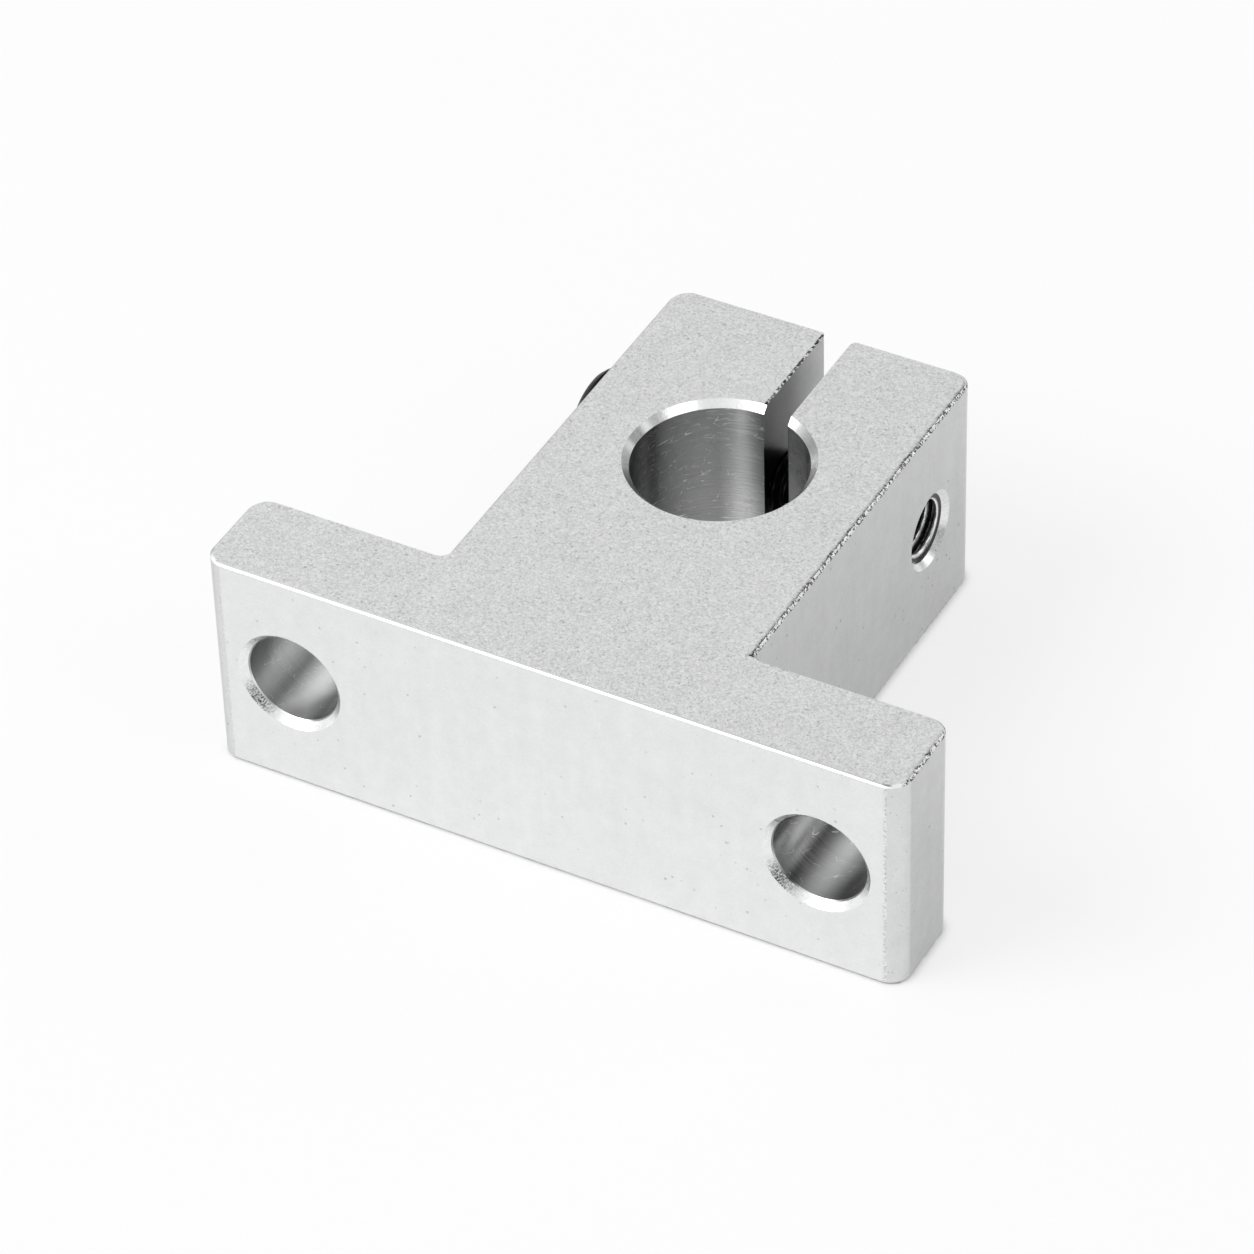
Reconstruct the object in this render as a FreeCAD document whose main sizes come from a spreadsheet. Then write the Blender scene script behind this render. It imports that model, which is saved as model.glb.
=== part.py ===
# Shaft support block with a clamping slit, and its clamp screw.
#
# The block lies on one side face, as it would on a table. The shaft bore
# runs along Z, the mounting face of the base looks to -Y and the upright
# rises to +Y. The origin is on the bore axis, halfway through the block.
# All lengths are in millimetres.

import math
import os

import FreeCAD
import Part
import Sketcher

# Driving dimensions: name, value and meaning. Each can be changed by itself.
DIMENSIONS = [
    # T-shaped section of the block
    ("block_width", 42.0, "length of the base flange"),
    ("block_depth", 14.0, "thickness of the block, along the shaft"),
    ("base_thickness", 6.0, "thickness of the base flange"),
    ("bore_height", 20.0, "bore axis above the mounting face"),
    ("cap_height", 12.8, "end of the ears above the bore axis"),
    ("upright_width", 18.6, "width of the upright"),
    ("outer_corner_radius", 1.2, "convex corners of the section"),
    ("inner_corner_radius", 0.6, "corners between flange and upright"),
    ("edge_chamfer", 0.15, "bevel round both side faces"),
    # shaft bore and clamping slit
    ("bore_diameter", 10.0, "bore for the shaft"),
    ("bore_chamfer", 0.4, "bevel at both ends of the bore"),
    ("slit_width", 1.65, "gap between the two ears"),
    ("slit_offset", 0.95, "middle of the slit beside the bore axis"),
    ("slit_mouth_radius", 0.6, "rounding at the open end of the slit"),
    # bolt holes in the base flange
    ("bolt_edge_distance", 5.0, "bolt axis to the end of the flange"),
    ("bolt_hole_diameter", 5.5, "clearance for the fixing bolts"),
    ("bolt_hole_chamfer", 0.45, "bevel at both ends of a bolt hole"),
    # clamp screw
    ("screw_diameter", 3.9, "outside of the thread"),
    ("screw_length", 14.0, "shank, from under the head to the tip"),
    ("tip_chamfer", 0.5, "bevel at the tip"),
    ("head_diameter", 7.0, "socket head"),
    ("head_height", 4.0, "socket head"),
    ("head_bevel", 0.35, "bevel round the top of the head"),
    ("socket_width", 3.0, "hexagon socket, across its flats"),
    ("socket_depth", 2.0, "hexagon socket, from the top of the head"),
    ("socket_bevel", 0.2, "bevel at the socket's mouth"),
    # holes that the clamp screw sits in
    ("thread_clearance", 0.05, "radial, screw to tapped hole"),
    ("shank_clearance", 0.2, "radial, screw to clearance hole"),
    ("head_clearance", 0.3, "radial, head to counterbore"),
    ("counterbore_depth", 1.2, "seat of the head below the ear's face"),
    ("tap_countersink", 0.4, "bevel at the tapped hole's mouth"),
    ("screw_bore_wall", 0.15, "least wall from clearance hole to bore"),
]

# Sizes that follow from the driving dimensions.
DERIVED = [
    ("bolt_spacing", "=block_width - 2 * bolt_edge_distance", "between the bolt axes"),
    ("tapped_radius", "=screw_diameter / 2 + thread_clearance", "tapped hole"),
    ("clear_radius", "=screw_diameter / 2 + shank_clearance", "clearance hole"),
    ("counterbore_radius", "=head_diameter / 2 + head_clearance", "counterbore"),
    (
        "screw_height",
        "=bore_diameter / 2 + screw_bore_wall + clear_radius",
        "screw axis above the bore axis",
    ),
    ("slit_left", "=slit_offset - slit_width / 2", "left wall of the slit"),
    ("slit_right", "=slit_offset + slit_width / 2", "right wall of the slit"),
    ("seat_side", "=upright_width / 2 - counterbore_depth", "seat of the head"),
    ("socket_corner", "=socket_width / sqrt(3)", "socket's axis to a corner"),
]

CUT_OVERRUN = 1.0  # how far a cutting profile runs past the solid
NODES = ("support_block", "clamp_screw")
PARTS_FOLDER = "parts"

ORIGIN = (-1, 1)  # sketch origin: geometry and point
AXIS = {"horizontal": -1, "vertical": -2}  # sketch axes
START, END, CENTRE = range(1, 4)  # points of a line or an arc

doc = FreeCAD.newDocument("shaft_support")

sheet = doc.addObject("Spreadsheet::Sheet", "dims")
for row, (alias, value, meaning) in enumerate(DIMENSIONS + DERIVED, start=1):
    sheet.set(f"A{row}", alias)
    sheet.set(f"B{row}", str(value))
    sheet.set(f"C{row}", meaning)
    sheet.setAlias(f"B{row}", alias)
doc.recompute()


def size(alias):
    """Value of one named cell."""
    return float(sheet.get(alias))


# Helpers for bodies and sketches


def origin_plane(body, role):
    for feature in body.Origin.OriginFeatures:
        if feature.Role == role:
            return feature
    raise ValueError(f"{body.Label} has no {role}")


def new_sketch(body, name, role, offset=None):
    """Sketch on one of the body's planes, moved along its normal."""
    sketch = body.newObject("Sketcher::SketchObject", name)
    sketch.AttachmentSupport = [(origin_plane(body, role), "")]
    sketch.MapMode = "FlatFace"
    if offset:
        sketch.setExpression("AttachmentOffset.Base.z", offset)
    return sketch


def add_line(sketch, start, end):
    edge = Part.LineSegment(FreeCAD.Vector(*start, 0), FreeCAD.Vector(*end, 0))
    return sketch.addGeometry(edge, False)


def add_circle(sketch, centre, radius, construction=False):
    normal = FreeCAD.Vector(0, 0, 1)
    edge = Part.Circle(FreeCAD.Vector(*centre, 0), normal, radius)
    return sketch.addGeometry(edge, construction)


def add_arc(sketch, centre, radius, start_angle, end_angle):
    """Arc that runs counter-clockwise; the angles are in radians."""
    normal = FreeCAD.Vector(0, 0, 1)
    circle = Part.Circle(FreeCAD.Vector(*centre, 0), normal, radius)
    edge = Part.ArcOfCircle(circle, start_angle, end_angle)
    return sketch.addGeometry(edge, False)


def add_polygon(sketch, corners):
    """Closed loop of lines, joined at its corners."""
    lines = []
    for start, end in zip(corners, corners[1:] + corners[:1]):
        lines.append(add_line(sketch, start, end))
    for line, following in zip(lines, lines[1:] + lines[:1]):
        relate(sketch, "Coincident", line, END, following, START)
    return lines


def relate(sketch, kind, *where):
    """Geometric constraint, such as Horizontal or Tangent."""
    sketch.addConstraint(Sketcher.Constraint(kind, *where))


def measure(sketch, kind, *where, alias, divide_by=1):
    """Dimension that follows a cell of the sheet, or an equal part of it."""
    value = size(alias) / divide_by
    index = sketch.addConstraint(Sketcher.Constraint(kind, *where, value))
    sketch.setExpression(f"Constraints[{index}]", f"dims.{alias} / {divide_by}")


def measure_fixed(sketch, kind, *where, value):
    """Dimension that no cell of the sheet changes."""
    sketch.addConstraint(Sketcher.Constraint(kind, *where, value))


def finish_sketch(sketch):
    doc.recompute()
    if sketch.solve() != 0:
        raise ValueError(f"sketch {sketch.Label} has no solution")


# Helpers for features


def bind(feature, **expressions):
    for name, expression in expressions.items():
        feature.setExpression(name, expression)


def take(body, feature):
    """Recompute, and make the feature the body's tip."""
    body.Tip = feature
    doc.recompute()
    return feature


def edges_at(feature, test):
    """Names of the edges for which the test is true."""
    edges = enumerate(feature.Shape.Edges, start=1)
    names = [f"Edge{number}" for number, edge in edges if test(edge)]
    if not names:
        raise ValueError(f"no edge found on {feature.Label}")
    return names


def close(a, b):
    return abs(a - b) < 1e-6


def is_line(edge):
    return edge.Curve.TypeId == "Part::GeomLine"


def is_circle(edge, radius):
    return edge.Curve.TypeId == "Part::GeomCircle" and close(edge.Curve.Radius, radius)


def along_depth(edge):
    """True for a straight edge that runs through the block's depth."""
    return is_line(edge) and abs(edge.tangentAt(edge.FirstParameter).z) > 0.99


def cut_by(body, feature, before):
    """The feature has to take material away."""
    take(body, feature)
    if feature.Shape.Volume >= before.Shape.Volume - 1e-6:
        raise ValueError(f"{feature.Label} cuts nothing")
    return feature


def fillet(body, name, base, edges, radius):
    feature = body.newObject("PartDesign::Fillet", name)
    feature.Base = (base, edges)
    bind(feature, Radius=radius)
    return take(body, feature)


def chamfer(body, name, base, edges, width):
    feature = body.newObject("PartDesign::Chamfer", name)
    feature.Base = (base, edges)
    bind(feature, Size=width)
    return cut_by(body, feature, base)


def pocket(body, name, sketch, before, length=None, reverse=False, both_ways=False):
    """Cut along the sketch's normal, right through if no length is given."""
    feature = body.newObject("PartDesign::Pocket", name)
    feature.Profile = sketch
    feature.Reversed = reverse
    if length:
        feature.Type = "Length"
        bind(feature, Length=length)
    else:
        feature.Type = "ThroughAll"
    if both_ways:
        feature.SideType = "Symmetric"
    return cut_by(body, feature, before)


# Support block: the T-shaped section

block = doc.addObject("PartDesign::Body", "support_block")
block.Label = "support_block"

half_width = size("block_width") / 2
half_upright = size("upright_width") / 2
foot = -size("bore_height")
shoulder = foot + size("base_thickness")
top = size("cap_height")

section = new_sketch(block, "section_sketch", "XY_Plane")
outline = add_polygon(
    section,
    [
        (-half_width, foot),
        (half_width, foot),
        (half_width, shoulder),
        (half_upright, shoulder),
        (half_upright, top),
        (-half_upright, top),
        (-half_upright, shoulder),
        (-half_width, shoulder),
    ],
)
mount_line, right_end, right_shoulder, right_side = outline[:4]
top_line, left_side, left_shoulder, left_end = outline[4:]
for line in (right_shoulder, left_shoulder):
    relate(section, "Horizontal", line)
for line in (right_end, right_side, left_side, left_end):
    relate(section, "Vertical", line)
relate(section, "Symmetric", mount_line, START, mount_line, END, AXIS["vertical"])
relate(section, "Symmetric", top_line, START, top_line, END, AXIS["vertical"])
relate(section, "Equal", right_end, left_end)
measure(section, "DistanceX", mount_line, START, mount_line, END, alias="block_width")
measure(section, "DistanceX", top_line, END, top_line, START, alias="upright_width")
measure(section, "DistanceY", right_end, START, right_end, END, alias="base_thickness")
measure(section, "DistanceY", mount_line, START, *ORIGIN, alias="bore_height")
measure(section, "DistanceY", *ORIGIN, top_line, START, alias="cap_height")
finish_sketch(section)

body_pad = block.newObject("PartDesign::Pad", "section_pad")
body_pad.Profile = section
body_pad.SideType = "Symmetric"
bind(body_pad, Length="dims.block_depth")
take(block, body_pad)


def is_inner_corner(edge):
    middle = edge.valueAt(edge.FirstParameter)
    return close(abs(middle.x), half_upright) and close(middle.y, shoulder)


corners = edges_at(body_pad, lambda edge: along_depth(edge) and not is_inner_corner(edge))
outer_fillet = fillet(block, "outer_corners", body_pad, corners, "dims.outer_corner_radius")

corners = edges_at(outer_fillet, lambda edge: along_depth(edge) and is_inner_corner(edge))
inner_fillet = fillet(block, "inner_corners", outer_fillet, corners, "dims.inner_corner_radius")

side_height = size("block_depth") / 2


def on_side_face(edge):
    """True for an edge that lies in one of the two side faces."""
    ends = (edge.valueAt(edge.FirstParameter), edge.valueAt(edge.LastParameter))
    return all(close(abs(end.z), side_height) for end in ends)


rims = edges_at(inner_fillet, on_side_face)
edge_bevel = chamfer(block, "side_bevels", inner_fillet, rims, "dims.edge_chamfer")

# Support block: shaft bore

bore_radius = size("bore_diameter") / 2
bore = new_sketch(block, "bore_sketch", "XY_Plane")
bore_circle = add_circle(bore, (0, 0), bore_radius)
relate(bore, "Coincident", bore_circle, CENTRE, *ORIGIN)
measure(bore, "Diameter", bore_circle, alias="bore_diameter")
finish_sketch(bore)
bore_cut = pocket(block, "shaft_bore", bore, edge_bevel, both_ways=True)

# Support block: bevels at both ends of the bore, one turned and one mirrored

bevel_width = size("bore_chamfer")
bevel = new_sketch(block, "bore_bevel_sketch", "XZ_Plane")
bevel_floor, bevel_slope, bevel_wall, bevel_cover, bevel_axis = add_polygon(
    bevel,
    [
        (0, side_height - bevel_width),
        (bore_radius, side_height - bevel_width),
        (bore_radius + bevel_width, side_height),
        (bore_radius + bevel_width, side_height + CUT_OVERRUN),
        (0, side_height + CUT_OVERRUN),
    ],
)
relate(bevel, "Horizontal", bevel_floor)
relate(bevel, "Vertical", bevel_wall)
relate(bevel, "Horizontal", bevel_cover)
relate(bevel, "PointOnObject", bevel_floor, START, AXIS["vertical"])
relate(bevel, "PointOnObject", bevel_cover, END, AXIS["vertical"])
measure(bevel, "DistanceX", bevel_floor, START, bevel_floor, END, alias="bore_diameter", divide_by=2)
measure(bevel, "DistanceX", bevel_slope, START, bevel_slope, END, alias="bore_chamfer")
measure(bevel, "DistanceY", bevel_slope, START, bevel_slope, END, alias="bore_chamfer")
measure(bevel, "DistanceY", *ORIGIN, bevel_slope, END, alias="block_depth", divide_by=2)
measure_fixed(bevel, "DistanceY", bevel_wall, START, bevel_wall, END, value=CUT_OVERRUN)
finish_sketch(bevel)

bevel_cut = block.newObject("PartDesign::Groove", "bore_bevel")
bevel_cut.Profile = bevel
bevel_cut.ReferenceAxis = (bevel, ["V_Axis"])
bevel_cut.Angle = 360
cut_by(block, bevel_cut, bore_cut)

bevel_pair = block.newObject("PartDesign::Mirrored", "bore_bevel_pair")
bevel_pair.Originals = [bevel_cut]
bevel_pair.MirrorPlane = (origin_plane(block, "XY_Plane"), [""])
cut_by(block, bevel_pair, bevel_cut)

# Support block: clamping slit from the bore through the end of the upright

mouth_radius = size("slit_mouth_radius")
left_wall = size("slit_left")
right_wall = size("slit_right")
mouth_y = top - mouth_radius
past_top = top + CUT_OVERRUN

slit = new_sketch(block, "slit_sketch", "XY_Plane")
floor_line = add_line(slit, (left_wall, 0), (right_wall, 0))
right_line = add_line(slit, (right_wall, 0), (right_wall, mouth_y))
right_mouth = add_arc(
    slit, (right_wall + mouth_radius, mouth_y), mouth_radius, math.pi / 2, math.pi
)
right_rise = add_line(
    slit, (right_wall + mouth_radius, top), (right_wall + mouth_radius, past_top)
)
cover_line = add_line(
    slit, (right_wall + mouth_radius, past_top), (left_wall - mouth_radius, past_top)
)
left_drop = add_line(slit, (left_wall - mouth_radius, past_top), (left_wall - mouth_radius, top))
left_mouth = add_arc(slit, (left_wall - mouth_radius, mouth_y), mouth_radius, 0, math.pi / 2)
left_line = add_line(slit, (left_wall, mouth_y), (left_wall, 0))

relate(slit, "Coincident", floor_line, END, right_line, START)
relate(slit, "Tangent", right_line, END, right_mouth, END)
relate(slit, "Coincident", right_mouth, START, right_rise, START)
relate(slit, "Coincident", right_rise, END, cover_line, START)
relate(slit, "Coincident", cover_line, END, left_drop, START)
relate(slit, "Coincident", left_drop, END, left_mouth, END)
relate(slit, "Tangent", left_mouth, START, left_line, START)
relate(slit, "Coincident", left_line, END, floor_line, START)
for line in (right_line, right_rise, left_drop, left_line):
    relate(slit, "Vertical", line)
relate(slit, "Horizontal", cover_line)
# The slit's profile starts level with the bore axis, inside the bore.
relate(slit, "PointOnObject", floor_line, START, AXIS["horizontal"])
relate(slit, "PointOnObject", floor_line, END, AXIS["horizontal"])
# At its outer end a mouth rounding runs level with the end face.
relate(slit, "Vertical", right_mouth, CENTRE, right_mouth, START)
relate(slit, "Vertical", left_mouth, CENTRE, left_mouth, END)
relate(slit, "Equal", left_mouth, right_mouth)
measure(slit, "Radius", right_mouth, alias="slit_mouth_radius")
measure(slit, "DistanceX", floor_line, START, floor_line, END, alias="slit_width")
measure(slit, "DistanceX", *ORIGIN, floor_line, END, alias="slit_right")
measure(slit, "DistanceY", *ORIGIN, right_mouth, START, alias="cap_height")
measure(slit, "DistanceY", *ORIGIN, left_mouth, END, alias="cap_height")
measure_fixed(slit, "DistanceY", right_rise, START, right_rise, END, value=CUT_OVERRUN)
finish_sketch(slit)
slit_cut = pocket(block, "clamping_slit", slit, bevel_pair, both_ways=True)

# Support block: two bolt holes through the base flange

bolt_radius = size("bolt_hole_diameter") / 2
half_spacing = size("bolt_spacing") / 2
bolts = new_sketch(block, "bolt_hole_sketch", "XZ_Plane")
left_bolt = add_circle(bolts, (-half_spacing, 0), bolt_radius)
right_bolt = add_circle(bolts, (half_spacing, 0), bolt_radius)
relate(bolts, "Symmetric", left_bolt, CENTRE, right_bolt, CENTRE, *ORIGIN)
relate(bolts, "PointOnObject", right_bolt, CENTRE, AXIS["horizontal"])
relate(bolts, "Equal", left_bolt, right_bolt)
measure(bolts, "Diameter", right_bolt, alias="bolt_hole_diameter")
measure(bolts, "DistanceX", left_bolt, CENTRE, right_bolt, CENTRE, alias="bolt_spacing")
finish_sketch(bolts)
bolt_cut = pocket(block, "bolt_holes", bolts, slit_cut, both_ways=True)

rims = edges_at(bolt_cut, lambda edge: is_circle(edge, bolt_radius) and edge.Closed)
bolt_bevel = chamfer(block, "bolt_hole_bevels", bolt_cut, rims, "dims.bolt_hole_chamfer")

# Support block: the clamp screw's holes start from the middle of the slit


def screw_hole(name, before, radius, offset, **cut):
    """Round hole on the screw axis, cut from a plane across that axis."""
    sketch = new_sketch(block, f"{name}_sketch", "YZ_Plane", offset)
    circle = add_circle(sketch, (size("screw_height"), 0), size(radius))
    relate(sketch, "PointOnObject", circle, CENTRE, AXIS["horizontal"])
    measure(sketch, "DistanceX", *ORIGIN, circle, CENTRE, alias="screw_height")
    measure(sketch, "Radius", circle, alias=radius)
    finish_sketch(sketch)
    return pocket(block, name, sketch, before, **cut)


clear_hole = screw_hole("clearance_hole", bolt_bevel, "clear_radius", "dims.slit_offset")
seat_cut = screw_hole(
    "counterbore",
    clear_hole,
    "counterbore_radius",
    "-dims.upright_width / 2",
    length="dims.counterbore_depth",
    reverse=True,
)
tapped_hole = screw_hole("tapped_hole", seat_cut, "tapped_radius", "dims.slit_offset", reverse=True)


def is_tap_mouth(edge):
    return is_circle(edge, size("tapped_radius")) and close(edge.Curve.Center.x, half_upright)


mouth = edges_at(tapped_hole, is_tap_mouth)
chamfer(block, "tapped_hole_mouth", tapped_hole, mouth, "dims.tap_countersink")

# Clamp screw: a turned blank along its own Z, with the seat of the head at 0

screw = doc.addObject("PartDesign::Body", "clamp_screw")
screw.Label = "clamp_screw"

shank_radius = size("screw_diameter") / 2
head_radius = size("head_diameter") / 2
head_top = -size("head_height")
head_bevel = size("head_bevel")
tip = size("screw_length")
tip_chamfer = size("tip_chamfer")
socket_bevel = size("socket_bevel")
socket_corner = size("socket_corner")

blank = new_sketch(screw, "blank_sketch", "XZ_Plane")
blank_lines = add_polygon(
    blank,
    [
        (0, head_top + socket_bevel),
        (socket_corner - socket_bevel, head_top + socket_bevel),
        (socket_corner, head_top),
        (head_radius - head_bevel, head_top),
        (head_radius, head_top + head_bevel),
        (head_radius, 0),
        (shank_radius, 0),
        (shank_radius, tip - tip_chamfer),
        (shank_radius - tip_chamfer, tip),
        (0, tip),
    ],
)
dish, dish_slope, head_face, head_slope, head_side = blank_lines[:5]
seat, shank, tip_slope, tip_face, screw_axis = blank_lines[5:]
for line in (dish, head_face, seat, tip_face):
    relate(blank, "Horizontal", line)
for line in (head_side, shank, screw_axis):
    relate(blank, "Vertical", line)
relate(blank, "PointOnObject", screw_axis, START, AXIS["vertical"])
relate(blank, "PointOnObject", seat, START, AXIS["horizontal"])
measure(blank, "DistanceX", *ORIGIN, dish_slope, END, alias="socket_corner")
measure(blank, "DistanceX", dish_slope, START, dish_slope, END, alias="socket_bevel")
measure(blank, "DistanceY", dish_slope, END, dish_slope, START, alias="socket_bevel")
measure(blank, "DistanceX", *ORIGIN, seat, START, alias="head_diameter", divide_by=2)
measure(blank, "DistanceX", head_slope, START, head_slope, END, alias="head_bevel")
measure(blank, "DistanceY", head_slope, START, head_slope, END, alias="head_bevel")
measure(blank, "DistanceY", head_face, END, *ORIGIN, alias="head_height")
measure(blank, "DistanceX", *ORIGIN, seat, END, alias="screw_diameter", divide_by=2)
measure(blank, "DistanceX", tip_slope, END, tip_slope, START, alias="tip_chamfer")
measure(blank, "DistanceY", tip_slope, START, tip_slope, END, alias="tip_chamfer")
measure(blank, "DistanceY", *ORIGIN, tip_face, END, alias="screw_length")
finish_sketch(blank)

screw_blank = screw.newObject("PartDesign::Revolution", "screw_blank")
screw_blank.Profile = blank
screw_blank.ReferenceAxis = (blank, ["V_Axis"])
screw_blank.Angle = 360
take(screw, screw_blank)

# Clamp screw: the hexagon socket, sunk from the top of the head

socket = new_sketch(screw, "socket_sketch", "XY_Plane", "-dims.head_height")
angles = [math.radians(60 * step) for step in range(6)]
hexagon = add_polygon(
    socket, [(socket_corner * math.cos(a), socket_corner * math.sin(a)) for a in angles]
)
guide = add_circle(socket, (0, 0), socket_corner, construction=True)
relate(socket, "Coincident", guide, CENTRE, *ORIGIN)
for side in hexagon:
    relate(socket, "PointOnObject", side, START, guide)
for side in hexagon[1:]:
    relate(socket, "Equal", hexagon[0], side)
relate(socket, "PointOnObject", hexagon[0], START, AXIS["horizontal"])
measure(socket, "Radius", guide, alias="socket_corner")
finish_sketch(socket)
pocket(screw, "hexagon_socket", socket, screw_blank, length="dims.socket_depth", reverse=True)

# Clamp screw: its head seats in the counterbore, its tip points to +X

screw.Placement = FreeCAD.Placement(
    FreeCAD.Vector(-size("seat_side"), size("screw_height"), 0),
    FreeCAD.Rotation(FreeCAD.Vector(0, 1, 0), 90),
)
screw.setExpression("Placement.Base.x", "-dims.seat_side")
screw.setExpression("Placement.Base.y", "dims.screw_height")
doc.recompute()

# Checks, then one file for each piece

for item in doc.Objects:
    if "Invalid" in item.State or "Error" in item.State:
        raise ValueError(f"{item.Label} failed: {item.State}")

os.makedirs(PARTS_FOLDER, exist_ok=True)
for name in NODES:
    shape = doc.getObject(name).Shape
    if shape.isNull() or not shape.isValid() or len(shape.Solids) != 1:
        raise ValueError(f"{name} isn't one valid solid")
    print(f"{name}: volume {shape.Volume:.2f} mm3, box {shape.BoundBox}")
    shape.exportStep(f"{PARTS_FOLDER}/{name}.step")
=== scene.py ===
import math
from types import SimpleNamespace

import bmesh
import bpy
from mathutils import Matrix, Vector

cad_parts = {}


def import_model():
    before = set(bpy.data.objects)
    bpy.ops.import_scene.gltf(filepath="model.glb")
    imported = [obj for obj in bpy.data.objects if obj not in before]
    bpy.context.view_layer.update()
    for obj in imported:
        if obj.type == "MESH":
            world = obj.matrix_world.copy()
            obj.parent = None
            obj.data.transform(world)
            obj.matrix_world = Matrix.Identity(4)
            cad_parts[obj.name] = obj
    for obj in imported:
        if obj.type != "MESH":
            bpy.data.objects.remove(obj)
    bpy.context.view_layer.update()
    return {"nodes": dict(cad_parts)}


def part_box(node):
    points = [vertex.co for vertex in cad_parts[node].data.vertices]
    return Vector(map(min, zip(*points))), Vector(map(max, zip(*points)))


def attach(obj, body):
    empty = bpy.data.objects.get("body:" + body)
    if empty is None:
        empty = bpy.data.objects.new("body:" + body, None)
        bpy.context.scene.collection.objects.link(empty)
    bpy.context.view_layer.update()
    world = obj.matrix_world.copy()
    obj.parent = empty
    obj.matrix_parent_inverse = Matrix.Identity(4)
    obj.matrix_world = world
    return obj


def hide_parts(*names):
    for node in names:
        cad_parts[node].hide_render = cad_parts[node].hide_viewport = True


MM = 0.001

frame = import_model()

# Places on the part, in millimetres in its own frame. The bore runs along z through the origin.
SIDE_Z = 7.0
FLANGE_END_X, FLANGE_BACK_Y, UPRIGHT_X = 21.0, -14.0, 9.3
SLIT_X = 0.95
BOLT_X = 16.0
SCREW_Y = 7.3

# Radii where the painted zones end, each a hair beyond the wall or the bevel that it covers
BORE_WALL, BORE_MOUTH = 5.06, 5.46
BOLT_WALL, BOLT_MOUTH = 2.82, 3.26
TAP_MOUTH = 2.5


# Fields: numbers that vary over a surface, written as shader nodes

class Field:
    """One number at each point of a surface."""

    def __init__(self, tree, socket):
        self.tree = tree
        self.socket = socket

    def math(self, operation, *others):
        node = self.tree.nodes.new("ShaderNodeMath")
        node.operation = operation
        self.tree.links.new(self.socket, node.inputs[0])
        for index, other in enumerate(others, start=1):
            if isinstance(other, Field):
                self.tree.links.new(other.socket, node.inputs[index])
            else:
                node.inputs[index].default_value = other
        return Field(self.tree, node.outputs[0])

    def __add__(self, other):
        return self.math("ADD", other)

    def __sub__(self, other):
        return self.math("SUBTRACT", other)

    def __mul__(self, other):
        return self.math("MULTIPLY", other)

    def __abs__(self):
        return self.math("ABSOLUTE")

    def less(self, other):
        return self.math("LESS_THAN", other)

    def over(self, other):
        return self.math("GREATER_THAN", other)

    def most(self, other):
        return self.math("MAXIMUM", other)

    def no(self):
        """One less this field."""
        return self * -1.0 + 1.0

    def rise(self, low, high, to_low=0.0, to_high=1.0):
        """Turns smoothly from to_low at low to to_high at high."""
        node = self.tree.nodes.new("ShaderNodeMapRange")
        node.interpolation_type = "SMOOTHSTEP"
        self.tree.links.new(self.socket, node.inputs["Value"])
        node.inputs["From Min"].default_value = low
        node.inputs["From Max"].default_value = high
        node.inputs["To Min"].default_value = to_low
        node.inputs["To Max"].default_value = to_high
        return Field(self.tree, node.outputs[0])

    def pick(self, at_zero, at_one):
        """at_zero where this field is 0, and at_one where it is 1."""
        return self.rise(0.0, 1.0, at_zero, at_one)

    def spread(self, low, high):
        """A noise turned into a value that mostly runs from low to high."""
        return self.rise(0.3, 0.7, low, high)

    def near(self, centre, reach):
        """1 at the centre, and 0 from reach away."""
        return abs(self - centre).rise(0.0, reach, 1.0, 0.0)

    def blend(self, other, share):
        """This field where share is 0, and other where it is 1."""
        return self + (self * -1.0 + other) * share


def length(a, b):
    """Distance from the place where both fields are 0."""
    return (a * a + b * b).math("SQRT")


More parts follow.
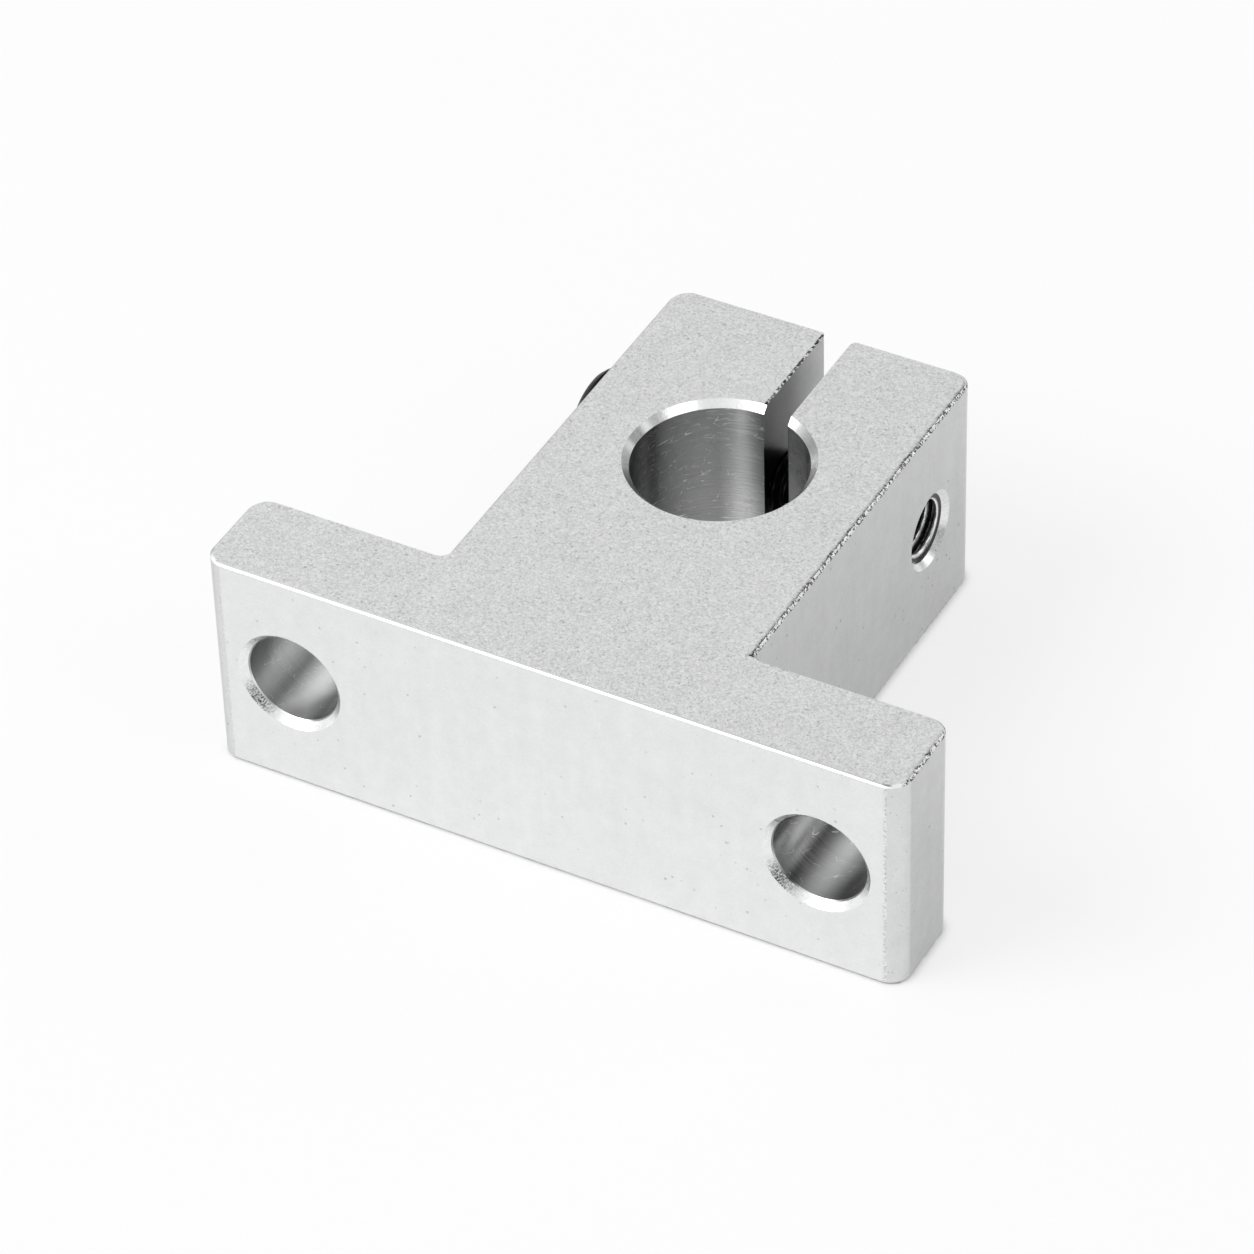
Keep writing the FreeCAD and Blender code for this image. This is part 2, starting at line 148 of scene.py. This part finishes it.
class Look:
    """A procedural material, and the fields that it is made from. Places are in millimetres."""

    def __init__(self, name, metallic):
        self.material = bpy.data.materials.new(name)
        self.material.use_nodes = True
        self.tree = self.material.node_tree
        self.shader = self.tree.nodes["Principled BSDF"]
        self.shader.inputs["Metallic"].default_value = metallic
        place = self.tree.nodes.new("ShaderNodeTexCoord")
        self.x, self.y, self.z = (part * (1.0 / MM) for part in self.split(place.outputs["Object"]))
        self.nx, self.ny, self.nz = self.split(place.outputs["Normal"])
        self.here = self.vector(self.x, self.y, self.z)

    def split(self, socket):
        node = self.tree.nodes.new("ShaderNodeSeparateXYZ")
        self.tree.links.new(socket, node.inputs[0])
        return [Field(self.tree, output) for output in node.outputs]

    def vector(self, *parts):
        node = self.tree.nodes.new("ShaderNodeCombineXYZ")
        for part, socket in zip(parts, node.inputs):
            if isinstance(part, Field):
                self.tree.links.new(part.socket, socket)
            else:
                socket.default_value = part
        return node.outputs[0]

    def noise(self, scale, where=None, detail=2.0, rough=0.5, warp=0.0):
        node = self.tree.nodes.new("ShaderNodeTexNoise")
        self.tree.links.new(where or self.here, node.inputs["Vector"])
        node.inputs["Scale"].default_value = scale
        node.inputs["Detail"].default_value = detail
        node.inputs["Roughness"].default_value = rough
        node.inputs["Distortion"].default_value = warp
        return Field(self.tree, node.outputs[0])

    def cells(self, scale):
        """Distance from the nearest of many scattered points."""
        node = self.tree.nodes.new("ShaderNodeTexVoronoi")
        self.tree.links.new(self.here, node.inputs["Vector"])
        node.inputs["Scale"].default_value = scale
        return Field(self.tree, node.outputs["Distance"])

    def lines(self, where, scale, width, gaps):
        """Thin scratches: the narrow bands where a stretched noise crosses its middle, with gaps."""
        band = self.noise(scale, where, detail=1.0).near(0.5, width)
        return band * self.noise(scale * 1.7, where, detail=1.0).rise(gaps, gaps + 0.06)

    def finish(self, grey, rough, height, depth, tint=(0.995, 1.0, 1.0)):
        """grey and rough are fields, and height one that stands depth metres proud where it is 1."""
        paint = self.tree.nodes.new("ShaderNodeCombineColor")
        for socket, share in zip(paint.inputs, tint):
            self.tree.links.new((grey * share).socket, socket)
        bump = self.tree.nodes.new("ShaderNodeBump")
        bump.inputs["Distance"].default_value = depth
        self.tree.links.new(height.socket, bump.inputs["Height"])
        self.tree.links.new(paint.outputs[0], self.shader.inputs["Base Color"])
        self.tree.links.new(rough.socket, self.shader.inputs["Roughness"])
        self.tree.links.new(bump.outputs[0], self.shader.inputs["Normal"])
        return self.material


# The block: satin clear-anodised aluminium, cut and drilled after the finish

def block_zones(k):
    """The block's surfaces. Each field is 1 on its own surface and 0 elsewhere."""
    side = abs(k.nz).rise(0.93, 0.98)
    bevel = abs(k.nz).rise(0.2, 0.4) * side.no()
    upright = abs(k.nz).less(0.2)
    bore_radius = length(k.x, k.y)
    bore_wall = bore_radius.less(BORE_WALL) * upright
    bore_bevel = bore_radius.less(BORE_MOUTH) * bevel
    slit_wall = abs(k.x - SLIT_X).less(0.86) * k.y.over(4.0) * upright
    bolt_radius = length(abs(k.x) - BOLT_X, k.z)
    bolt_wall = bolt_radius.less(BOLT_WALL)
    bolt_bevel = bolt_radius.less(BOLT_MOUTH) * bolt_wall.no() * abs(k.ny).less(0.9)
    tap_radius = length(k.y - SCREW_Y, k.z)
    tap_bevel = tap_radius.less(TAP_MOUTH) * k.x.over(8.85) * abs(k.nx).less(0.9)
    cut = bore_wall.most(bore_bevel).most(bolt_wall).most(bolt_bevel).most(tap_bevel)
    edge = bevel * cut.no()
    turned = abs(k.nx).rise(0.08, 0.2) * abs(k.ny).rise(0.08, 0.2)
    return SimpleNamespace(
        side=side,
        upright=upright,
        bore_radius=bore_radius,
        bore_wall=bore_wall,
        bore_bevel=bore_bevel,
        slit_wall=slit_wall,
        # Painted shadow on the slit walls, below a slanting line that goes deeper towards the back.
        painted_shadow=(abs(k.z) + k.y * 0.75).rise(7.6, 8.4, 1.0, 0.0),
        bolt_radius=bolt_radius,
        bolt_wall=bolt_wall,
        bolt_bevel=bolt_bevel,
        tap_bevel=tap_bevel,
        cut=cut,
        edge=edge,
        burr=edge * k.nx.rise(0.25, 0.6),
        painted_highlight=edge * k.ny.rise(-0.25, -0.5) * k.z.over(0.0),
        corner=upright * turned * cut.no() * slit_wall.no(),
    )


def block_grain(k):
    """The noises that more than one of the block's surfaces shares."""
    return SimpleNamespace(
        fine=k.noise(6.5, detail=2.0, rough=0.7, warp=0.5),
        cloud=k.noise(0.35, detail=2.0),
        patch=k.noise(1.1, detail=3.0, rough=0.6),
        torn=k.noise(5.5, detail=2.0, rough=0.8),
    )


def skin_tone(k, zone, grain):
    """The anodised faces: blasted side faces, and the others with faint lines from the drawing die. The end
    walls and the rounded corners carry painted shade.
    """
    x, y, z = k.x, k.y, k.z
    tone = (grain.fine - 0.5) * zone.side.pick(0.12, 0.7) + zone.side.pick(0.835, 0.85)
    tone = tone + (grain.cloud - 0.5) * 0.05 + (grain.patch - 0.5) * 0.09

    drawn = k.noise(1.0, k.vector(x * 1.1, y * 1.1, z * 0.25), detail=3.0)
    # Painted shade: the walls that face along x are painted darker.
    painted_end_shade = abs(k.nx).rise(0.94, 0.97) * zone.upright * zone.corner.no()
    tone = tone + (drawn - 0.5) * zone.side.no() * 0.06
    # Painted shade on the end walls, and on the rounded corners, deepest on the left ones.
    tone = tone - painted_end_shade * 0.20 - zone.corner * k.nx.rise(-0.8, -0.3, 0.24, 0.11)

    light_marks = k.lines(k.vector(x, y, z * 0.3), 3.4, 0.040, 0.50)
    dark_marks = k.lines(k.vector(y, x, 4.0), 3.2, 0.040, 0.47)
    tone = tone + (light_marks - dark_marks * 1.3) * zone.side * 0.17

    pits = k.cells(1.3).rise(0.07, 0.15, 1.0, 0.0) * k.noise(0.9).rise(0.48, 0.6)
    worn = k.cells(2.6).rise(0.08, 0.16, 1.0, 0.0) * zone.corner
    scuffs = (k.noise(5.0, detail=3.0, rough=0.8) - 0.5) * abs(k.nx).near(0.16, 0.14) * zone.corner
    return tone - pits * 0.25 - worn * 0.2 + scuffs * k.nx.rise(-0.1, 0.1, 0.7, 2.2)


def paint_edges(k, zone, grain, tone):
    """A torn burr on the right, dark with painted glints and with painted shade along its lower part, and a
    clean painted highlight line along the mounting face.
    """
    torn = grain.torn
    tone = tone.blend(torn.rise(0.3, 0.6, 0.25, 0.55), zone.edge)

    # The burr frays a little way into the side face, and dulls it
    edge_x = k.y.rise(FLANGE_BACK_Y - 0.01, FLANGE_BACK_Y + 0.01, FLANGE_END_X + 0.05, UPRIGHT_X)
    inward = edge_x - k.x
    tone = tone - inward.rise(0.22, 0.42, 0.20, 0.0) * zone.side
    fringe = (inward + torn * 0.3 + grain.patch * 0.3).rise(0.49, 0.54, 1.0, 0.0) * zone.side
    frayed = k.noise(9.0, detail=2.0, rough=0.8)
    tone = tone.blend(frayed.rise(0.51, 0.61, 0.06, 0.85), fringe)
    down_bevel = (abs(k.z) - SIDE_Z) * -6.7  # from 0 beside the side face to 1 beside the wall
    # The bright beads are painted glints on the torn burr. Towards the wall they dim, as painted shade along
    # the lower part of the bevel.
    painted_glints = torn.rise(0.44, 0.52) * down_bevel.rise(0.6, 0.9, 1.0, 0.75)
    tone = tone.blend(painted_glints * 0.87 + 0.10, zone.burr)

    # A painted highlight line on the lower part of the front bevel, and painted shade on its upper part
    tone = tone.blend(torn.rise(0.25, 0.35, 0.6, 0.98), zone.painted_highlight)
    tone = tone.blend(0.26, zone.painted_highlight * k.z.rise(6.91, 6.94) * k.ny.rise(-0.6, -0.68))

    # Nicks along the slit's left edge
    lip = abs(k.x - 0.05).rise(0.08, 0.14, 1.0, 0.0) * k.y.over(5.3) * zone.side
    lip = lip.most(abs(k.x - 0.125).less(0.05) * zone.slit_wall * abs(k.z).over(6.84))
    return tone.blend(torn.rise(0.47, 0.56, 0.05, 0.9), lip)


def paint_bore(k, zone, tone):
    """Turning marks and scratches round the bore, with painted light and shade that change round it, and a
    bevel with chatter and painted shade. Also gives the marks' height.
    """
    angle = k.y.math("ARCTAN2", k.x)
    around = abs(angle)
    turning = k.noise(1.0, k.vector(angle * 1.5, k.z * 14.0, 0.0), detail=2.0)
    level_scratch = k.lines(k.vector(angle * 1.6, k.z * 5.0, 7.0), 0.9, 0.014, 0.49)
    slant = k.vector(angle * 6.0 + k.z * 1.1, k.z * 1.3 - angle * 1.6, 2.0)
    scratch = level_scratch.most(k.lines(slant, 0.7, 0.010, 0.50))

    # Painted highlight: a bright band, with brighter scratches, beside the slit.
    painted_sheen_band = around.near(1.80, 0.30) * (turning.spread(0.44, 0.66) + scratch * 1.2)
    # Painted shade darkens the wall towards the left, and painted light brightens it right of the slit.
    wall = around.rise(2.2, 3.0, 0.50, 0.26) + painted_sheen_band + around.rise(1.2, 1.4, 0.55, 0.0)
    wall = wall - 0.09 + (turning - 0.5) * 0.16 + scratch * 0.5
    tone = tone.blend(wall, zone.bore_wall)

    chatter = k.noise(1.0, k.vector(angle * 60.0, zone.bore_radius * 8.0, k.z * 2.0), detail=2.0, rough=0.7)
    flecks = (around.near(2.7, 0.35) * 0.6 + around.near(1.6, 0.2)) * chatter.rise(0.44, 0.56) * 0.32
    # Painted shade darkens the bevel on the left. It is also darker round the right back, and has dark
    # chatter flecks.
    dark = around.rise(2.90, 3.08, 0.0, 0.75) + angle.near(0.72, 0.7) * 0.6 + flecks
    tone = tone.blend(chatter.rise(0.3, 0.5, 0.90, 1.0) - dark, zone.bore_bevel)
    return tone, turning * 0.3 + scratch * 0.4


def paint_slit(zone, grain, tone):
    """Bare walls, with a painted shadow that blackens them deep in the slit round the screw."""
    bare = (grain.cloud - 0.5) * 0.2 + (grain.fine - 0.5) * 0.2 + 0.44
    return tone.blend(bare * zone.painted_shadow.pick(1.0, 0.12), zone.slit_wall)


def paint_bolt_holes(k, zone, tone):
    """Painted reflection streaks along the drilled holes. The right one is painted darker, as painted shade.
    """
    right = k.x.rise(-0.1, 0.1)
    angle = k.z.math("ARCTAN2", right.pick(1.0, -1.0) * (abs(k.x) - BOLT_X))
    # Painted reflections: bright streaks at given angles round each hole.
    wall = angle.near(-0.55, 0.50) * 0.50 + angle.near(-1.45, 0.60) * 0.68 + 0.28
    # Painted shade: the right hole is darker, with a darker band. Painted light brightens both holes towards
    # the front mouth.
    wall = wall * right.pick(1.0, 0.72) - angle.near(-0.80, 0.50) * right * 0.25
    wall = wall * k.y.rise(-19.6, -17.5, 1.35, 1.0)
    marks = k.noise(1.0, k.vector(angle * 1.2, k.y * 9.0, k.x * 0.2), detail=2.0)
    scratch = k.lines(k.vector(angle * 4.0 + k.y * 0.5, k.y * 0.9, k.x * 0.3), 0.8, 0.010, 0.50)
    tone = tone.blend(wall + (marks - 0.5) * 0.14 + scratch * 0.35, zone.bolt_wall)

    chatter = k.noise(1.0, k.vector(angle * 34.0, zone.bolt_radius * 9.0, k.x * 0.5), detail=2.0, rough=0.7)
    dark = chatter.rise(0.4, 0.6, 0.9, 0.0) * angle.near(-0.75, 0.55)
    return tone.blend(dark.no() * 0.9, zone.bolt_bevel)


def block_look():
    k = Look("satin_aluminium", metallic=1.0)
    zone = block_zones(k)
    grain = block_grain(k)

    tone = skin_tone(k, zone, grain)
    tone = paint_edges(k, zone, grain, tone)
    tone, bore_height = paint_bore(k, zone, tone)
    tone = paint_slit(zone, grain, tone)
    tone = paint_bolt_holes(k, zone, tone)
    tone = tone.blend(grain.fine.spread(0.85, 1.0), zone.tap_bevel)

    rough = zone.side.pick(0.40, 0.50)
    rough = rough.blend(grain.cloud.spread(0.24, 0.30), zone.bore_wall.most(zone.bore_bevel))
    rough = rough.blend(grain.torn.spread(0.26, 0.40), zone.tap_bevel)
    rough = rough.blend(grain.cloud.spread(0.26, 0.34), zone.bolt_wall)
    rough = rough.blend(grain.torn.spread(0.25, 0.45), zone.bolt_bevel)
    rough = rough.blend(grain.torn.spread(0.2, 0.5), zone.edge * zone.painted_highlight.no())

    height = grain.fine * zone.side.pick(0.12, 1.0) * zone.cut.no()
    height = height + zone.burr * grain.torn * 4.0 + zone.bore_wall * bore_height
    return k.finish(tone, rough, height, 0.012 * MM)


def steel_look():
    k = Look("black_oxide", metallic=0.9)
    wear = k.noise(2.2, detail=4.0, rough=0.7)
    fine = k.noise(14.0, detail=2.0)
    tone = (fine - 0.5) * 0.01 + wear.rise(0.55, 0.75, 0.0, 0.02) + 0.015
    return k.finish(tone, wear.spread(0.32, 0.5), fine + wear * 0.6, 0.006 * MM, (1.0, 1.0, 1.05))


def thread_look():
    k = Look("cut_thread", metallic=1.0)
    grain = k.noise(9.0, detail=2.0)
    radius = length(k.y - SCREW_Y, k.z)
    # Painted highlight on the crests and painted shade in the roots. Painted shade also darkens the thread
    # deeper in the hole.
    tone = radius.rise(1.70, 1.84, 0.95, 0.05) * k.x.rise(7.2, 8.0, 0.1, 1.0)
    return k.finish(tone + (grain - 0.5) * 0.04, grain.spread(0.25, 0.4), grain, 0.004 * MM)


aluminium = block_look()
steel = steel_look()
frame["nodes"]["support_block"].data.materials[0] = aluminium
for slot in frame["nodes"]["clamp_screw"].material_slots:
    slot.material = steel


# Pieces in mesh code. Both lie along the clamp screw's axis, and lengths are in millimetres.

TURN_STEPS = 64
PITCH = 0.7
HEAD_HEIGHT = 4.0
HEAD_RADIUS = 3.5
KNURL_DEPTH = 0.14
KNURL_COUNT = 32
SOCKET_WIDTH = 3.0
SOCKET_DEPTH = 2.0
THREAD_RADIUS = 1.95
THREAD_DEPTH = 0.40
TIP_BEVEL = 0.45
THREAD_STEPS = 200
TAPPED_END = 8.96
TAPPED_BACK = 2.06
TAPPED_CREST = 2.02
TAPPED_DEPTH = 0.38
TAPPED_STEPS = 64
NEARLY_AXIS = 0.02


def flat(radius):
    return lambda angle: radius


def ring(mesh, x, radius_at):
    """One loop of points round the screw's axis at x."""
    points = []
    for step in range(TURN_STEPS):
        angle = step / TURN_STEPS * math.tau
        radius = radius_at(angle)
        place = (x, SCREW_Y + radius * math.cos(angle), radius * math.sin(angle))
        points.append(mesh.verts.new([value * MM for value in place]))
    return points


def skin(mesh, rings):
    for first, second in zip(rings, rings[1:]):
        for step in range(TURN_STEPS):
            after = (step + 1) % TURN_STEPS
            mesh.faces.new([first[step], first[after], second[after], second[step]])


def add_object(name, mesh):
    data = bpy.data.meshes.new(name)
    mesh.to_mesh(data)
    mesh.free()
    made = bpy.data.objects.new(name, data)
    bpy.context.scene.collection.objects.link(made)
    return made


def piece(name, mesh, material, body, smooth_angle):
    bmesh.ops.remove_doubles(mesh, verts=mesh.verts, dist=1e-7)
    bmesh.ops.recalc_face_normals(mesh, faces=mesh.faces)
    made = add_object(name, mesh)
    made.data.materials.append(material)
    made.data.shade_smooth()
    made.data.set_sharp_from_angle(angle=math.radians(smooth_angle))
    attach(made, body)
    return made


def ramp(value):
    """value, kept between 0 and 1."""
    return min(1.0, max(0.0, value))


def crest(turns, root_share):
    """Height of a thread's profile, 0 at the root and 1 at the crest, at a place counted in turns."""
    place = abs(turns % 1.0 - 0.5) * 2.0
    return ramp((place - root_share) / (1.0 - 2.0 * root_share))


def screw_mesh():
    mesh = bmesh.new()
    low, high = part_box("clamp_screw")
    head, tip = low.x / MM, high.x / MM
    seat = head + HEAD_HEIGHT

    def knurled(angle):
        return HEAD_RADIUS - KNURL_DEPTH * (0.5 + 0.5 * math.cos(KNURL_COUNT * angle)) ** 0.7

    def hexagon(angle):
        sixth = math.pi / 3
        return SOCKET_WIDTH / 2 / math.cos((angle + sixth / 2) % sixth - sixth / 2)

    def thread(x):
        runout = ramp((tip - 0.15 - x) / 0.5) * ramp((x - seat - 0.5) / 0.5)
        bevel = max(0.0, x - tip + TIP_BEVEL)

        def at(angle):
            groove = 1.0 - crest(x / PITCH - angle / math.tau, 0.12)
            return THREAD_RADIUS - THREAD_DEPTH * runout * groove - bevel
        return at

    profile = [
        (head + SOCKET_DEPTH + 0.35, flat(NEARLY_AXIS)),
        (head + SOCKET_DEPTH, hexagon),
        (head + 0.2, hexagon),
        (head, flat(1.86)),
        (head, flat(3.05)),
        (head + 0.10, flat(3.22)),
        (head + 0.35, flat(3.44)),
        (head + 0.5, flat(HEAD_RADIUS)),
        (head + 0.62, knurled),
        (seat - 0.35, knurled),
        (seat - 0.12, flat(3.45)),
        (seat, flat(3.33)),
        (seat, flat(2.12)),
        (seat + 0.12, flat(1.99)),
        (seat + 0.4, flat(THREAD_RADIUS)),
    ]
    start = seat + 0.45
    for step in range(THREAD_STEPS + 1):
        x = start + (tip - start) * step / THREAD_STEPS
        profile.append((x, thread(x)))
    profile.append((tip, flat(NEARLY_AXIS)))
    rings = [ring(mesh, x, radius_at) for x, radius_at in profile]
    skin(mesh, rings)
    mesh.faces.new(rings[0])
    mesh.faces.new(rings[-1][::-1])
    return mesh


def tapped_thread_mesh():
    """The turns of thread in the tapped hole between the screw's tip and the hole's mouth."""
    mesh = bmesh.new()
    low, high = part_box("clamp_screw")
    start = high.x / MM + 0.15

    def thread(x):
        fade = min(1.0, (TAPPED_END - x) / 0.08)

        def at(angle):
            groove = 1.0 - crest(x / PITCH - angle / math.tau - 0.14, 0.1)
            return TAPPED_CREST - TAPPED_DEPTH * fade * groove
        return at

    rings = []
    for step in range(TAPPED_STEPS + 1):
        x = start + (TAPPED_END - start) * step / TAPPED_STEPS
        rings.append(ring(mesh, x, thread(x)))
    rings.append(ring(mesh, TAPPED_END, flat(TAPPED_BACK)))
    rings.append(ring(mesh, start, flat(TAPPED_BACK)))
    skin(mesh, rings + rings[:1])
    return mesh


screw = piece("socket_screw", screw_mesh(), steel, "screw", 32)
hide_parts("clamp_screw")
piece("tapped_thread", tapped_thread_mesh(), thread_look(), "block", 40)


# Studio: a plain white floor, soft light, and the camera at the photograph's angle

def floor_material():
    """White paint with the object's shadow, which looks plain white to the camera where no shadow falls."""
    material = bpy.data.materials.new("white_floor")
    material.use_nodes = True
    tree = material.node_tree
    shader = tree.nodes["Principled BSDF"]
    shader.inputs["Base Color"].default_value = (0.88, 0.88, 0.88, 1.0)
    shader.inputs["Roughness"].default_value = 0.9
    shader.inputs["Specular IOR Level"].default_value = 0.0
    white = tree.nodes.new("ShaderNodeEmission")
    white.inputs["Strength"].default_value = 1.0
    path = tree.nodes.new("ShaderNodeLightPath")
    seen, glossy, through = (
        Field(tree, path.outputs[name]) for name in ("Is Camera Ray", "Is Glossy Ray", "Is Transmission Ray")
    )
    closed = tree.nodes.new("ShaderNodeAmbientOcclusion")
    closed.samples = 8
    closed.inputs["Distance"].default_value = 0.7 * MM
    clear = Field(tree, closed.outputs["AO"]).rise(0.3, 0.95, 0.0, 0.72)
    share = (seen * clear).most(glossy.most(through) * 0.40)
    mix = tree.nodes.new("ShaderNodeMixShader")
    tree.links.new(share.socket, mix.inputs[0])
    tree.links.new(shader.outputs[0], mix.inputs[1])
    tree.links.new(white.outputs[0], mix.inputs[2])
    tree.links.new(mix.outputs[0], tree.nodes["Material Output"].inputs["Surface"])
    return material


def floor():
    mesh = bmesh.new()
    bmesh.ops.create_grid(mesh, x_segments=2, y_segments=2, size=3.0)
    for vertex in mesh.verts:
        vertex.co.z = -SIDE_Z * MM
    made = add_object("floor", mesh)
    made.data.materials.append(floor_material())


def world():
    """Soft light that comes mostly from the upper left front. The camera sees plain white."""
    made = bpy.data.worlds.new("studio")
    bpy.context.scene.world = made
    made.use_nodes = True
    tree = made.node_tree
    tree.nodes.clear()
    place = tree.nodes.new("ShaderNodeTexCoord")
    parts = tree.nodes.new("ShaderNodeSeparateXYZ")
    tree.links.new(place.outputs["Generated"], parts.inputs[0])
    east, north, up = [Field(tree, output) for output in parts.outputs]
    toward = east * -0.62 + north * -0.35 + up * 0.60
    level = toward.rise(-0.8, 0.8, 0.20, 1.05)
    light = tree.nodes.new("ShaderNodeBackground")
    tree.links.new(level.socket, light.inputs["Strength"])
    white = tree.nodes.new("ShaderNodeBackground")
    path = tree.nodes.new("ShaderNodeLightPath")
    mix = tree.nodes.new("ShaderNodeMixShader")
    output = tree.nodes.new("ShaderNodeOutputWorld")
    tree.links.new(path.outputs["Is Camera Ray"], mix.inputs[0])
    tree.links.new(light.outputs[0], mix.inputs[1])
    tree.links.new(white.outputs[0], mix.inputs[2])
    tree.links.new(mix.outputs[0], output.inputs["Surface"])


def lamp(name, direction, distance, size, power):
    """A round lamp that faces the object. distance and size are in metres, and power is in watts."""
    data = bpy.data.lights.new(name, "AREA")
    data.shape = "DISK"
    data.size = size
    data.energy = power
    made = bpy.data.objects.new(name, data)
    bpy.context.scene.collection.objects.link(made)
    made.location = Vector(direction).normalized() * distance
    made.rotation_mode = "QUATERNION"
    made.rotation_quaternion = Vector(direction).to_track_quat("Z", "Y")


# The camera as fitted to the photograph, in degrees, pixels and millimetres. Its place is measured
# along its own right, up and back directions, from the middle of the mounting face's lower edge.
CAMERA_AZIMUTH, CAMERA_ELEVATION, CAMERA_ROLL = 29.537, 40.235, -1.891
CAMERA_RIGHT, CAMERA_UP, CAMERA_BACK = 4.053, 13.046, 321.368
FIT_ORIGIN = Vector((0.0, -20.0, -SIDE_Z))
FOCAL_PIXELS = 5952.84
PHOTO_PIXELS = 1254
SENSOR_WIDTH = 36.0


def camera():
    azimuth, elevation, roll = (
        math.radians(value) for value in (CAMERA_AZIMUTH, CAMERA_ELEVATION, CAMERA_ROLL)
    )
    flat_back = Vector((math.sin(azimuth), -math.cos(azimuth), 0.0))
    back = flat_back * math.cos(elevation) + Vector((0.0, 0.0, math.sin(elevation)))
    level = Vector((math.cos(azimuth), math.sin(azimuth), 0.0))
    rise = back.cross(level)
    right = level * math.cos(roll) + rise * math.sin(roll)
    up = rise * math.cos(roll) - level * math.sin(roll)
    place = right * CAMERA_RIGHT + up * CAMERA_UP + back * CAMERA_BACK + FIT_ORIGIN
    data = bpy.data.cameras.new("camera")
    data.sensor_width = SENSOR_WIDTH
    data.lens = FOCAL_PIXELS / PHOTO_PIXELS * SENSOR_WIDTH
    data.clip_start = 0.01
    data.clip_end = 20.0
    made = bpy.data.objects.new("camera", data)
    bpy.context.scene.collection.objects.link(made)
    turn = Matrix((right, up, back)).transposed().to_4x4()
    made.matrix_world = Matrix.Translation(place * MM) @ turn
    bpy.context.scene.camera = made


floor()
world()
lamp("key", (-0.6, -0.55, 0.75), 1.2, 0.8, 6.8)
lamp("rim", (0.64, 0.67, 0.38), 1.2, 0.6, 1.3)
lamp("fill", (0.69, -0.12, 0.70), 1.2, 0.6, 1.1)
camera()

bpy.context.scene.view_settings.view_transform = "Standard"
